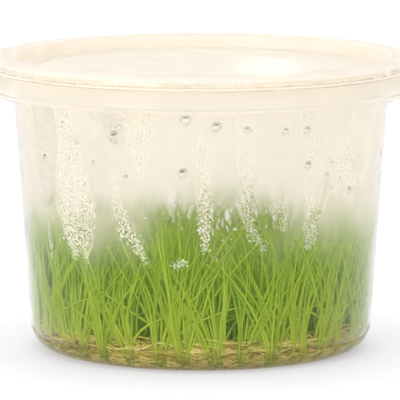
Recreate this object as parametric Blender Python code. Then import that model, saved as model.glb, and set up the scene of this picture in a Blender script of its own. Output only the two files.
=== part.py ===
"""Dwarf hairgrass grown in a round, lidded tissue-culture tub.

The tub stands on z = 0 with its axis on +Z. Everything is in metres. The tub is a thin moulded cup with a
hanging skirt round its rim, closed by a snap-on lid. In it lie a thin layer of nutrient jelly, a mat of roots
and runners, and the young plants, each a tuft of fine upright leaves that rises from one crown.
"""

import math
import random

import bmesh
import bpy
from mathutils import Matrix, Vector, noise

MM = 0.001
GAP = 0.3 * MM  # kept between neighbouring pieces

# Cup: a tapered wall on a rounded foot, a flared neck, and a skirt that hangs from the neck's shelf.
WALL = 0.7 * MM
FOOT_WALL_RADIUS = 47.0 * MM  # where the wall's outer line would meet the floor
WALL_SLOPE = 0.0708  # growth of the radius for each metre of height
CORNER_RADIUS = 7.0 * MM
HOLLOW_RADIUS = 35.0 * MM  # the shallow hollow under the foot
HOLLOW_DEPTH = 0.4 * MM
FLARE_START = 72.3 * MM
FLARE_END = 75.4 * MM
NECK_RADIUS = 55.4 * MM
NECK_TOP = 80.5 * MM
NECK_BEAD = 1.1 * MM  # the lid's lip snaps under this bead
NECK_BEAD_FOOT = 79.7 * MM
NECK_BEAD_SLOPE = 0.3 * MM
SHELF_TOP = 78.6 * MM
SKIRT_RADIUS = 58.2 * MM
SKIRT_FOOT = 71.8 * MM
BEAD_HEIGHT = 1.5 * MM
BEAD_DEPTH = 0.6 * MM

# Lid: a rolled rim over the neck and a panel sunk inside it.
LID_RADIUS = 59.0 * MM
LID_TOP = 82.0 * MM
LIP_FOOT = 79.0 * MM
LIP_WALL = 1.3 * MM
LIP_CATCH = 1.6 * MM  # how far the catch at the lip's foot reaches in under the neck's bead
LIP_CATCH_HEIGHT = 0.4 * MM
LID_WALL = 1.2 * MM
RECESS_RADIUS = 52.6 * MM
PANEL_TOP = 78.0 * MM
STEP_RADIUS = 46.0 * MM
STEP_RISE = 0.6 * MM
EDGE_ROUND = 0.8 * MM
RECESS_ROUND = 0.5 * MM

# Contents.
JELLY_TOP = 5.0 * MM
JELLY_EDGE = 0.6 * MM
MAT_TOP = 7.6 * MM
MAT_EDGE = 1.6 * MM  # bare margin between the mat and the wall
MAT_LUMPS = 0.9 * MM
MAT_LUMP_LENGTH = 6.0 * MM
MAT_RAGGEDNESS = 0.012
MAT_RINGS = 3

TUFT_PITCH = 13.2 * MM
TUFT_RINGS = (("inner", 6), ("middle", 12), ("outer", 18))
TUFT_SPREAD = 5.3 * MM  # how far leaf tips stand from the tuft's axis
CROWN_RADIUS = 2.7 * MM
CROWN_HEIGHT = 1.6 * MM
LEAVES = 6
FOOT_INSET = 0.035  # bare margin round a leaf's foot, as a share of its facet's perimeter
LEAF_SECTIONS = ((0.34, 0.86), (0.68, 0.62), (1.0, 0.0))  # share of the height, share of the foot's width
LEAF_HEIGHT = (27.0 * MM, 36.0 * MM)

TURNED_SIDES = 40
ARC_STEPS = 3
SEED = 7


def clear_scene():
    """Remove every object that the file opened with."""
    for obj in list(bpy.data.objects):
        bpy.data.objects.remove(obj, do_unlink=True)


def plain_material(name, colour, roughness, alpha=1.0):
    """A Principled material with one colour, as a first finish for a piece."""
    material = bpy.data.materials.new(name)
    material.use_nodes = True
    shader = material.node_tree.nodes["Principled BSDF"]
    shader.inputs["Base Color"].default_value = (*colour, 1.0)
    shader.inputs["Roughness"].default_value = roughness
    shader.inputs["Metallic"].default_value = 0.0
    shader.inputs["Alpha"].default_value = alpha
    return material


def add_object(name, bm, material, parent, location=(0.0, 0.0, 0.0), sharp_degrees=35.0):
    """Make a shaded object from a bmesh, under its parent."""
    mesh = bpy.data.meshes.new(name)
    bm.to_mesh(mesh)
    bm.free()
    mesh.materials.append(material)
    mesh.shade_smooth()
    mesh.set_sharp_from_angle(angle=math.radians(sharp_degrees))
    obj = bpy.data.objects.new(name, mesh)
    bpy.context.scene.collection.objects.link(obj)
    obj.parent = parent
    obj.location = location
    return obj


def arc(centre, radius, start, end, steps=ARC_STEPS + 1):
    """Points (r, z) of an arc, with its angles in degrees from the outward direction."""
    points = []
    for step in range(steps + 1):
        angle = math.radians(start + (end - start) * step / steps)
        points.append((centre[0] + radius * math.cos(angle), centre[1] + radius * math.sin(angle)))
    return points


def turned_body(profile, sides=TURNED_SIDES):
    """Turn an outline of (r, z) points about the axis into one closed body."""
    bm = bmesh.new()
    verts = [bm.verts.new((r, 0.0, z)) for r, z in profile]
    edges = [bm.edges.new(pair) for pair in zip(verts, verts[1:])]
    if profile[0][0] > 0.0 or profile[-1][0] > 0.0:
        edges.append(bm.edges.new((verts[-1], verts[0])))
    bmesh.ops.spin(
        bm,
        geom=verts + edges,
        cent=(0.0, 0.0, 0.0),
        axis=(0.0, 0.0, 1.0),
        angle=2.0 * math.pi,
        steps=sides,
        use_merge=True,
    )
    bmesh.ops.remove_doubles(bm, verts=bm.verts, dist=1e-6)
    bmesh.ops.recalc_face_normals(bm, faces=bm.faces)
    return bm


def wall_radius(z, inset=0.0):
    """Outer radius of the cup's wall at a height, less an inset."""
    return FOOT_WALL_RADIUS + WALL_SLOPE * z - inset


def corner(inset, floor):
    """The rounded corner between a floor and the wall's line moved inwards by inset."""
    lean = math.atan(WALL_SLOPE)
    radius = CORNER_RADIUS - inset
    centre_z = floor + radius
    centre_r = wall_radius(centre_z, inset / math.cos(lean)) - radius / math.cos(lean)
    return arc((centre_r, centre_z), radius, -90.0, -math.degrees(lean))


def flare(inset):
    """The smooth step outwards from the wall to the neck's foot, going up."""
    low = wall_radius(FLARE_START, inset)
    high = NECK_RADIUS - inset
    points = []
    for step in range(ARC_STEPS + 1):
        share = step / ARC_STEPS
        smooth = share * share * (3.0 - 2.0 * share)
        points.append((low + (high - low) * smooth, FLARE_START + (FLARE_END - FLARE_START) * share))
    return points


def cup_profile():
    """Outline of the cup, from the middle of the foot, up the outside and down the inside."""
    floor_inside = WALL + HOLLOW_DEPTH
    shelf_foot = SHELF_TOP - WALL
    skirt_inside = SKIRT_RADIUS - WALL
    bead_radius = SKIRT_RADIUS + BEAD_DEPTH
    hollow = [(0.0, HOLLOW_DEPTH), (HOLLOW_RADIUS, HOLLOW_DEPTH), (HOLLOW_RADIUS + HOLLOW_DEPTH, 0.0)]
    outside = hollow + corner(0.0, 0.0) + flare(0.0)
    under_shelf = [(NECK_RADIUS, shelf_foot), (skirt_inside, shelf_foot)]
    skirt = [
        (skirt_inside, SKIRT_FOOT),
        (bead_radius, SKIRT_FOOT),
        (bead_radius, SKIRT_FOOT + BEAD_HEIGHT - BEAD_DEPTH),
        (SKIRT_RADIUS, SKIRT_FOOT + BEAD_HEIGHT),
    ]
    over_shelf = arc((SKIRT_RADIUS - EDGE_ROUND, SHELF_TOP - EDGE_ROUND), EDGE_ROUND, 0.0, 90.0, 2)
    neck = [
        (NECK_RADIUS, SHELF_TOP),
        (NECK_RADIUS, NECK_BEAD_FOOT - NECK_BEAD_SLOPE),
        (NECK_RADIUS + NECK_BEAD, NECK_BEAD_FOOT),
        (NECK_RADIUS + NECK_BEAD, NECK_TOP),
    ]
    inside = [(NECK_RADIUS - WALL, NECK_TOP)] + flare(WALL)[::-1] + corner(WALL, floor_inside)[::-1]
    return outside + under_shelf + skirt + over_shelf + neck + inside + [(0.0, floor_inside)]


def lid_profile():
    """Outline of the lid, from the middle of the panel's top out over the rim and back underneath."""
    panel_foot = PANEL_TOP - LID_WALL
    plug_radius = RECESS_RADIUS + LID_WALL
    panel = [
        (0.0, PANEL_TOP + STEP_RISE),
        (STEP_RADIUS - STEP_RISE, PANEL_TOP + STEP_RISE),
        (STEP_RADIUS, PANEL_TOP),
        (RECESS_RADIUS - RECESS_ROUND, PANEL_TOP),
        (RECESS_RADIUS, PANEL_TOP + RECESS_ROUND),
    ]
    rim = [(RECESS_RADIUS, LID_TOP - RECESS_ROUND), (RECESS_RADIUS + RECESS_ROUND, LID_TOP)]
    rim += arc((LID_RADIUS - EDGE_ROUND, LID_TOP - EDGE_ROUND), EDGE_ROUND, 90.0, 0.0, 2)
    catch_radius = LID_RADIUS - LIP_WALL - LIP_CATCH
    lip = [(LID_RADIUS, LIP_FOOT), (catch_radius, LIP_FOOT), (LID_RADIUS - LIP_WALL, LIP_FOOT + LIP_CATCH_HEIGHT)]
    channel = [(LID_RADIUS - LIP_WALL, LID_TOP - LID_WALL), (plug_radius, LID_TOP - LID_WALL)]
    under = [
        (plug_radius, panel_foot),
        (STEP_RADIUS, panel_foot),
        (STEP_RADIUS - STEP_RISE, panel_foot + STEP_RISE),
        (0.0, panel_foot + STEP_RISE),
    ]
    return panel + rim + lip + channel + under


def jelly_profile():
    """Outline of the jelly, which fills the cup's foot and creeps up its wall a little."""
    inset = WALL + GAP
    floor = WALL + HOLLOW_DEPTH + GAP
    side = [point for point in corner(inset, floor) if point[1] < JELLY_TOP - GAP]
    rim = (wall_radius(JELLY_TOP, inset + JELLY_EDGE), JELLY_TOP)
    return [(0.0, floor)] + side + [rim, (0.0, JELLY_TOP)]


def mat_body():
    """The mat of roots and runners: a flat cake with a lumpy top and a ragged edge."""
    bottom = JELLY_TOP + GAP
    edge = wall_radius(bottom, WALL + MAT_EDGE)
    top = [(edge * (MAT_RINGS - ring) / MAT_RINGS, MAT_TOP - MAT_LUMPS) for ring in range(MAT_RINGS + 1)]
    profile = [(0.0, bottom), (edge, bottom)] + top
    bm = turned_body(profile)
    for vert in bm.verts:
        wave = noise.noise(vert.co / MAT_LUMP_LENGTH)
        if vert.co.z > bottom + GAP:
            vert.co.z += MAT_LUMPS * 0.9 * wave
        if vert.co.xy.length > 0.9 * edge:
            vert.co.xy *= 1.0 + MAT_RAGGEDNESS * wave
    return bm


def tuft_places():
    """Names and places of the tufts: one in the middle, then rings with a small stray."""
    places = [("centre", Vector((0.0, 0.0)))]
    for ring, (label, count) in enumerate(TUFT_RINGS, start=1):
        for index in range(count):
            angle = 2.0 * math.pi * (index + 0.35 * ring) / count
            at = Vector((math.cos(angle), math.sin(angle))) * TUFT_PITCH * ring
            places.append((f"{label}_{index + 1}", at))
    return places


def grow_leaf(bm, face, height, lean, bow):
    """Draw a leaf up from a facet of the crown, leaning and bowing as it thins to its tip."""
    centre = face.calc_center_median()
    way = Vector((centre.x, centre.y, 0.0)).normalized()
    bmesh.ops.inset_individual(bm, faces=[face], thickness=face.calc_perimeter() * FOOT_INSET)
    foot_width = 1.0
    top = face
    for share, width in LEAF_SECTIONS:
        made = bmesh.ops.extrude_discrete_faces(bm, faces=[top])
        top = made["faces"][0]
        out = lean * share ** 1.3 + bow * math.sin(math.pi * share)
        target = centre + way * out + Vector((0.0, 0.0, height * share))
        now = top.calc_center_median()
        scale = max(width / foot_width, 1e-3)
        for vert in top.verts:
            vert.co = target + (vert.co - now) * scale
        foot_width = max(width, 1e-3)
    bmesh.ops.pointmerge(bm, verts=list(top.verts), merge_co=target)


def tuft_body(rng):
    """One plant: a low crown whose facets each carry a leaf."""
    bm = bmesh.new()
    turn = Matrix.Rotation(rng.uniform(0.0, 2.0 * math.pi), 4, "Z")
    bmesh.ops.create_cone(
        bm,
        cap_ends=True,
        cap_tris=True,
        segments=LEAVES,
        radius1=CROWN_RADIUS * 0.75,
        radius2=CROWN_RADIUS,
        depth=CROWN_HEIGHT,
        matrix=Matrix.Translation((0.0, 0.0, 0.5 * CROWN_HEIGHT)) @ turn,
    )
    facets = [face for face in bm.faces if face.normal.z > 0.9]
    for facet in facets:
        height = rng.uniform(*LEAF_HEIGHT)
        lean = rng.uniform(0.35, 1.0) * (TUFT_SPREAD - CROWN_RADIUS)
        grow_leaf(bm, facet, height, lean, rng.uniform(-0.6, 0.6) * MM)
    bmesh.ops.recalc_face_normals(bm, faces=bm.faces)
    return bm


def build():
    """Make every piece of the tub and what grows in it."""
    clear_scene()
    rng = random.Random(SEED)
    root = bpy.data.objects.new("culture_tub", None)
    bpy.context.scene.collection.objects.link(root)

    clear_plastic = plain_material("cup_plastic", (0.93, 0.88, 0.78), 0.25, alpha=0.4)
    lid_plastic = plain_material("lid_plastic", (0.95, 0.91, 0.83), 0.3, alpha=0.5)
    jelly = plain_material("jelly", (0.80, 0.74, 0.45), 0.2, alpha=0.6)
    roots = plain_material("roots", (0.66, 0.60, 0.30), 0.6)
    leaves = plain_material("leaves", (0.24, 0.50, 0.07), 0.5)

    add_object("cup", turned_body(cup_profile()), clear_plastic, root)
    add_object("lid", turned_body(lid_profile()), lid_plastic, root)
    add_object("nutrient_jelly", turned_body(jelly_profile()), jelly, root)
    add_object("root_mat", mat_body(), roots, root, sharp_degrees=60.0)
    for label, at in tuft_places():
        add_object(f"tuft_{label}", tuft_body(rng), leaves, root, (at.x, at.y, MAT_TOP + GAP), 60.0)


build()
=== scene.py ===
"""Dwarf hairgrass in a round, lidded culture tub: the looks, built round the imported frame.

Every size is in metres, in the frame's own axes: the tub stands on z = 0 with its axis on +Z, and -Y is the
front. A place on the wall is an angle in degrees from the front, growing to the right, and a height.
"""

from __future__ import annotations

import logging
import math
import random
from collections.abc import Callable, Iterable, Sequence
from dataclasses import dataclass, field
from enum import Enum

import bpy
import numpy as np
from mathutils import Matrix, Vector


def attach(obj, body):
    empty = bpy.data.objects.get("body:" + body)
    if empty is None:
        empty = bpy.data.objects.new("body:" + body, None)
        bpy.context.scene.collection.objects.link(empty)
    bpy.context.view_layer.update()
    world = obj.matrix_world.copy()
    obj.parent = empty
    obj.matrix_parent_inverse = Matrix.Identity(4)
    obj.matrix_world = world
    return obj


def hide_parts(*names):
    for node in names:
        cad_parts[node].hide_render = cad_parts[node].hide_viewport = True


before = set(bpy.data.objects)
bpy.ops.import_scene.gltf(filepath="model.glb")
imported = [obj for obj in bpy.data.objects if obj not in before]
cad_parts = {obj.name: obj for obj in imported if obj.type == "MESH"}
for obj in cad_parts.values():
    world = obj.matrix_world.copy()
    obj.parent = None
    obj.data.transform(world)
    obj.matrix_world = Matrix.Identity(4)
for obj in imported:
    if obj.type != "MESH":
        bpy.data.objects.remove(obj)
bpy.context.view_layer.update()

LOG = logging.getLogger("culture_tub")
MM = 0.001

Outline = list[tuple[float, float]]
Colour = tuple[float, float, float]


# Working in edit mode


def select_only(obj: bpy.types.Object) -> None:
    """Make one object the only selected and active one.

    Args:
        obj: The object to work on.
    """
    for other in bpy.context.selected_objects:
        other.select_set(False)
    obj.select_set(True)
    bpy.context.view_layer.objects.active = obj


def start_piece(name: str, add: Callable[..., set], **sizes: object) -> bpy.types.Object:
    """Add a primitive as the start of a piece and open it in edit mode, all of it selected.

    Args:
        name: The piece's name.
        add: The operator that adds the primitive.
        sizes: The operator's own settings.

    Returns:
        The new object, in edit mode.
    """
    for other in bpy.context.selected_objects:
        other.select_set(False)
    add(**sizes)
    obj = bpy.context.active_object
    obj.name = name
    obj.data.name = name
    bpy.ops.object.mode_set(mode="EDIT")
    bpy.ops.mesh.select_all(action="SELECT")
    return obj


def close_piece(obj: bpy.types.Object, sharp_degrees: float = 40.0) -> None:
    """Leave edit mode, put the place into the mesh and shade it smooth.

    Args:
        obj: The piece.
        sharp_degrees: Edges that turn by more than this stay sharp.
    """
    bpy.ops.object.mode_set(mode="OBJECT")
    select_only(obj)
    bpy.ops.object.transform_apply(location=True, rotation=True, scale=True)
    bpy.ops.object.shade_smooth_by_angle(angle=math.radians(sharp_degrees))


def arc(centre: tuple[float, float], radius: float, start: float, end: float, steps: int) -> Outline:
    """Points of an arc in an outline.

    Args:
        centre: The arc's centre, as radius and height.
        radius: The arc's radius.
        start: First angle in degrees from the outward direction.
        end: Last angle.
        steps: How many straight pieces it is made of.

    Returns:
        The points, both ends included.
    """
    angles = [math.radians(start + (end - start) * step / steps) for step in range(steps + 1)]
    return [(centre[0] + radius * math.cos(a), centre[1] + radius * math.sin(a)) for a in angles]


def ruled(first: tuple[float, float], last: tuple[float, float], rows: int) -> Outline:
    """Points that divide a straight stretch of an outline, without its two ends.

    Args:
        first: Where the stretch begins.
        last: Where it ends.
        rows: How many pieces it is divided into.

    Returns:
        The points between the ends.
    """
    shares = [row / rows for row in range(1, rows)]
    return [tuple(a + (b - a) * share for a, b in zip(first, last)) for share in shares]


def turn(name: str, outline: Outline, steps: int, sharp_degrees: float = 50.0) -> bpy.types.Object:
    """Draw an outline point by point and spin it about the axis into one closed body.

    Args:
        name: The piece's name.
        outline: Points as radius and height. An outline off the axis closes on itself.
        steps: How many facets go round.
        sharp_degrees: Edges that turn by more than this stay sharp.

    Returns:
        The turned body.
    """
    start = outline[0]
    obj = start_piece(name, bpy.ops.mesh.primitive_plane_add, size=MM, location=(start[0], 0.0, start[1]))
    bpy.ops.mesh.merge(type="CENTER")
    points = outline + ([start] if start[0] > 0.0 else [])
    for (r, z), (next_r, next_z) in zip(points, points[1:]):
        move = {"value": (next_r - r, 0.0, next_z - z)}
        bpy.ops.mesh.extrude_region_move(TRANSFORM_OT_translate=move)
    bpy.ops.mesh.select_all(action="SELECT")
    bpy.ops.mesh.spin(steps=steps, angle=2.0 * math.pi, center=(0, 0, 0), axis=(0, 0, 1))
    bpy.ops.mesh.select_all(action="SELECT")
    bpy.ops.mesh.remove_doubles(threshold=1e-6)
    bpy.ops.mesh.normals_make_consistent(inside=False)
    close_piece(obj, sharp_degrees)
    return obj


def points_of(mesh: bpy.types.Mesh) -> np.ndarray:
    """The mesh's points, one row each."""
    points = np.empty(len(mesh.vertices) * 3, np.float32)
    mesh.vertices.foreach_get("co", points)
    return points.reshape(-1, 3).astype(float)


def paint(mesh: bpy.types.Mesh, name: str, values: np.ndarray) -> None:
    """Store a number on each point of a mesh for its material to read.

    Args:
        mesh: The mesh.
        name: The attribute's name.
        values: One number a point.
    """
    layer = mesh.attributes.new(name, "FLOAT", "POINT")
    layer.data.foreach_set("value", values.astype(np.float32).ravel())


def smooth_step(low: float, high: float, value: np.ndarray) -> np.ndarray:
    """A soft step from 0 at low to 1 at high."""
    share = np.clip((value - low) / (high - low), 0.0, 1.0)
    return share * share * (3.0 - 2.0 * share)


# Shapes that are modelled once and copied


@dataclass
class Pattern:
    """A small shape that is modelled once: its points and faces, for copies joined in one mesh."""

    points: np.ndarray
    faces: list[tuple[int, ...]]

    @classmethod
    def lift(cls, obj: bpy.types.Object) -> Pattern:
        """Take the pattern from a modelled object, and remove the object.

        Args:
            obj: The shape, at its own unit size.

        Returns:
            The pattern.
        """
        mesh = obj.data
        made = cls(points_of(mesh), [tuple(face.vertices) for face in mesh.polygons])
        bpy.data.objects.remove(obj)
        bpy.data.meshes.remove(mesh)
        return made

    def join(self, name: str, copies: Sequence[np.ndarray], marks: dict[str, np.ndarray]) -> bpy.types.Object:
        """Join many shaped copies into one smooth piece.

        Args:
            name: The piece's name.
            copies: The moved points of each copy.
            marks: Numbers for each copy, or for each point of each copy, stored as attributes.

        Returns:
            The piece.
        """
        count = len(self.points)
        faces = [tuple(i + count * k for i in face) for k in range(len(copies)) for face in self.faces]
        mesh = bpy.data.meshes.new(name)
        mesh.from_pydata(np.concatenate(copies).tolist(), [], faces)
        mesh.shade_smooth()
        for label, values in marks.items():
            values = np.asarray(values)
            paint(mesh, label, np.repeat(values, count) if values.ndim == 1 else values)
        obj = bpy.data.objects.new(name, mesh)
        bpy.context.scene.collection.objects.link(obj)
        return obj


def strand_pattern(sides: int, sections: int) -> Pattern:
    """A straight strand of unit length and radius, closed at its foot and drawn to a point.

    Args:
        sides: How many facets go round.
        sections: How many sections it has along its length.

    Returns:
        The pattern, rising along Z from 0 to 1.
    """
    obj = start_piece(
        "strand", bpy.ops.mesh.primitive_circle_add, vertices=sides, radius=1.0, fill_type="NGON"
    )
    for _ in range(sections):
        move = {"value": (0.0, 0.0, 1.0 / sections)}
        bpy.ops.mesh.extrude_region_move(TRANSFORM_OT_translate=move)
    bpy.ops.mesh.merge(type="CENTER")
    bpy.ops.mesh.select_all(action="SELECT")
    bpy.ops.mesh.normals_make_consistent(inside=False)
    close_piece(obj)
    return Pattern.lift(obj)


def drop_pattern(sides: int, rings: int) -> Pattern:
    """A drop's cap of unit radius on its flat side, heavier towards -Y.

    Args:
        sides: How many facets go round.
        rings: How many rings rise to its top.

    Returns:
        The pattern, its flat side on z = 0 and its crown at z = 1.
    """
    obj = start_piece(
        "drop", bpy.ops.mesh.primitive_circle_add, vertices=sides, radius=1.0, fill_type="NGON"
    )
    radius, height = 1.0, 0.0
    for ring in range(1, rings + 1):
        angle = 0.5 * math.pi * ring / (rings + 1)
        scale = math.cos(angle) / radius
        rise = math.sin(angle) - height
        bpy.ops.mesh.extrude_region_move(TRANSFORM_OT_translate={"value": (0.0, 0.0, rise)})
        bpy.ops.transform.resize(value=(scale, scale, 1.0))
        radius, height = radius * scale, height + rise
    bpy.ops.mesh.extrude_region_move(TRANSFORM_OT_translate={"value": (0.0, 0.0, 1.0 - height)})
    bpy.ops.mesh.merge(type="CENTER")
    bpy.ops.mesh.select_all(action="SELECT")
    bpy.ops.mesh.normals_make_consistent(inside=False)
    close_piece(obj)
    pattern = Pattern.lift(obj)
    belly = pattern.points[:, 2] * (1.0 - pattern.points[:, 2])
    pattern.points[:, 1] -= 0.5 * belly
    return pattern


def sweep(pattern: Pattern, path: np.ndarray, radius: np.ndarray, face_to: np.ndarray) -> np.ndarray:
    """Bend a straight strand along a path.

    Args:
        pattern: The strand.
        path: Points along the way, evenly spaced, one row each.
        radius: The strand's radius at each of those points.
        face_to: A direction that the strand's own X keeps to, as well as it can.

    Returns:
        The bent strand's points.
    """
    along = pattern.points[:, 2]
    spot = along * (len(path) - 1)
    low = np.clip(spot.astype(int), 0, len(path) - 2)
    share = (spot - low)[:, None]
    centre = path[low] * (1.0 - share) + path[low + 1] * share
    way = np.gradient(path, axis=0)
    way = way[low] * (1.0 - share) + way[low + 1] * share
    way /= np.linalg.norm(way, axis=1, keepdims=True) + 1e-12
    side = face_to - way * (way @ face_to)[:, None]
    side /= np.linalg.norm(side, axis=1, keepdims=True) + 1e-12
    across = np.cross(way, side)
    width = (radius[low] * (1.0 - share[:, 0]) + radius[low + 1] * share[:, 0])[:, None]
    return centre + (side * pattern.points[:, :1] + across * pattern.points[:, 1:2]) * width


# Shader maths


class Value:
    """A number in a material's node tree. Arithmetic on it adds Math nodes."""

    def __init__(self, tree: bpy.types.NodeTree, socket: bpy.types.NodeSocket) -> None:
        """Wrap a socket of a tree."""
        self.tree = tree
        self.socket = socket

    def math(self, operation: str, *others: Value | float, swap: bool = False) -> Value:
        """Add one Math node.

        Args:
            operation: Its operation.
            others: Its other operands.
            swap: Whether this value is the second operand.

        Returns:
            The result.
        """
        node = self.tree.nodes.new("ShaderNodeMath")
        node.operation = operation
        operands = [self, *others]
        if swap:
            operands.reverse()
        for socket, operand in zip(node.inputs, operands):
            if isinstance(operand, Value):
                self.tree.links.new(operand.socket, socket)
            else:
                socket.default_value = operand
        return Value(self.tree, node.outputs[0])

    def __add__(self, other: Value | float) -> Value:
        """This plus another."""
        return self.math("ADD", other)

    __radd__ = __add__

    def __sub__(self, other: Value | float) -> Value:
        """This less another."""
        return self.math("SUBTRACT", other)

    def __rsub__(self, other: float) -> Value:
        """A number less this."""
        return self.math("SUBTRACT", other, swap=True)

    def __mul__(self, other: Value | float) -> Value:
        """This times another."""
        return self.math("MULTIPLY", other)

    __rmul__ = __mul__

    def step(self, low: float, high: float) -> Value:
        """A soft step from 0 at low to 1 at high."""
        node = self.tree.nodes.new("ShaderNodeMapRange")
        node.interpolation_type = "SMOOTHSTEP"
        self.tree.links.new(self.socket, node.inputs["Value"])
        node.inputs["From Min"].default_value = low
        node.inputs["From Max"].default_value = high
        return Value(self.tree, node.outputs[0])

    def capped(self) -> Value:
        """This, kept between 0 and 1."""
        return self.math("MINIMUM", 1.0).math("MAXIMUM", 0.0)


class Bench:
    """A new material and the means to build its nodes."""

    def __init__(self, name: str) -> None:
        """Open an empty material."""
        self.material = bpy.data.materials.new(name)
        self.material.use_nodes = True
        self.tree = self.material.node_tree
        self.tree.nodes.clear()
        self.place = self.node("ShaderNodeTexCoord").outputs["Object"]

    def node(
        self, kind: str, settings: dict[str, object] | None = None, inputs: dict[str | int, object] | None = None
    ) -> bpy.types.Node:
        """Add one node.

        Args:
            kind: The node's type.
            settings: Its own settings, set first. "stops" fills a ramp with places and colours.
            inputs: Values or links for its sockets, by name or number.

        Returns:
            The node.
        """
        node = self.tree.nodes.new(kind)
        for name, setting in (settings or {}).items():
            if name == "stops":
                self._fill(node.color_ramp, setting)
            else:
                setattr(node, name, setting)
        for name, given in (inputs or {}).items():
            self.feed(node.inputs[name], given)
        return node

    def feed(self, socket: bpy.types.NodeSocket, given: object) -> None:
        """Link a socket, or set its value when what is given is a plain number or colour.

        Args:
            socket: The input.
            given: A Value, a socket, a node, a number or a tuple.
        """
        if isinstance(given, Value):
            given = given.socket
        if isinstance(given, bpy.types.Node):
            given = given.outputs[0]
        if isinstance(given, bpy.types.NodeSocket):
            self.tree.links.new(given, socket)
        elif isinstance(given, tuple) and len(given) == 3 and socket.type == "RGBA":
            socket.default_value = (*given, 1.0)
        else:
            socket.default_value = given

    @staticmethod
    def _fill(ramp: bpy.types.ColorRamp, stops: Sequence[tuple[float, Colour]]) -> None:
        """Fill a colour ramp with its stops."""
        while len(ramp.elements) < len(stops):
            ramp.elements.new(1.0)
        for element, (place, colour) in zip(ramp.elements, stops):
            element.position = place
            element.color = (*colour, 1.0)

    def number(self, node: bpy.types.Node, output: str | int = 0) -> Value:
        """One of a node's outputs as a value for arithmetic."""
        return Value(self.tree, node.outputs[output])

    def mark(self, name: str) -> Value:
        """A number stored on the mesh."""
        return self.number(self.node("ShaderNodeAttribute", {"attribute_name": name}), "Fac")

    def noise(self, scale: float, detail: float = 2.0, place: object = None, roughness: float = 0.5) -> Value:
        """Soft noise about 0.5.

        Args:
            scale: Lumps a metre.
            detail: How many finer layers it has.
            place: Coordinates, or None for the object's own.
            roughness: How strong the finer layers are.

        Returns:
            The noise.
        """
        fed = {"Vector": place or self.place, "Scale": scale, "Detail": detail, "Roughness": roughness}
        return self.number(self.node("ShaderNodeTexNoise", inputs=fed))

    def stretched(self, scale: tuple[float, float, float]) -> bpy.types.NodeSocket:
        """The object's coordinates, scaled along each axis."""
        return self.node("ShaderNodeMapping", inputs={"Vector": self.place, "Scale": scale}).outputs[0]

    def blend(self, share: object, first: object, second: object) -> bpy.types.NodeSocket:
        """A mix of two colours.

        Args:
            share: How much of the second colour.
            first: The first colour.
            second: The second colour.

        Returns:
            The mixed colour.
        """
        node = self.node("ShaderNodeMix", {"data_type": "RGBA"}, {0: share, 6: first, 7: second})
        return node.outputs[2]

    def ramp(self, value: object, stops: Sequence[tuple[float, Colour]]) -> bpy.types.NodeSocket:
        """A colour picked by a value."""
        return self.node("ShaderNodeValToRGB", {"stops": stops}, {0: value}).outputs[0]

    def bump(self, height: Value, depth: float, strength: float = 1.0) -> bpy.types.NodeSocket:
        """A normal from a height.

        Args:
            height: The height, about 0 to 1.
            depth: How many metres one unit stands for.
            strength: How much of it shows.

        Returns:
            The normal.
        """
        fed = {"Height": height, "Distance": depth, "Strength": strength}
        return self.node("ShaderNodeBump", inputs=fed).outputs[0]

    def mix(self, share: object, first: object, second: object) -> bpy.types.Node:
        """A mix of two shaders.

        Args:
            share: How much of the second shader.
            first: The first shader.
            second: The second shader.

        Returns:
            The Mix Shader node.
        """
        return self.node("ShaderNodeMixShader", inputs={0: share, 1: first, 2: second})

    def milky(self, colour: Colour) -> bpy.types.Node:
        """A thin milky layer that scatters light to both sides alike."""
        front = self.node("ShaderNodeBsdfDiffuse", inputs={"Color": colour})
        through = self.node("ShaderNodeBsdfTranslucent", inputs={"Color": colour})
        return self.mix(0.5, front, through)

    def lamps_pass(self, surface: object, tint: Colour) -> bpy.types.Node:
        """Let lamp light through a clear surface, tinted, where it would be lost in bends.

        Args:
            surface: The surface's shader.
            tint: What is left of the light.

        Returns:
            The shader to use.
        """
        ray = self.node("ShaderNodeLightPath").outputs["Is Shadow Ray"]
        return self.mix(ray, surface, self.node("ShaderNodeBsdfTransparent", inputs={"Color": tint}))

    def finish(self, surface: object, volume: object = None) -> bpy.types.Material:
        """Send a shader to the material's output.

        Args:
            surface: The surface's shader.
            volume: The volume's shader, if it has one.

        Returns:
            The material.
        """
        output = self.node("ShaderNodeOutputMaterial", inputs={"Surface": surface})
        if volume is not None:
            self.feed(output.inputs["Volume"], volume)
        return self.material


# Finishes


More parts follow.
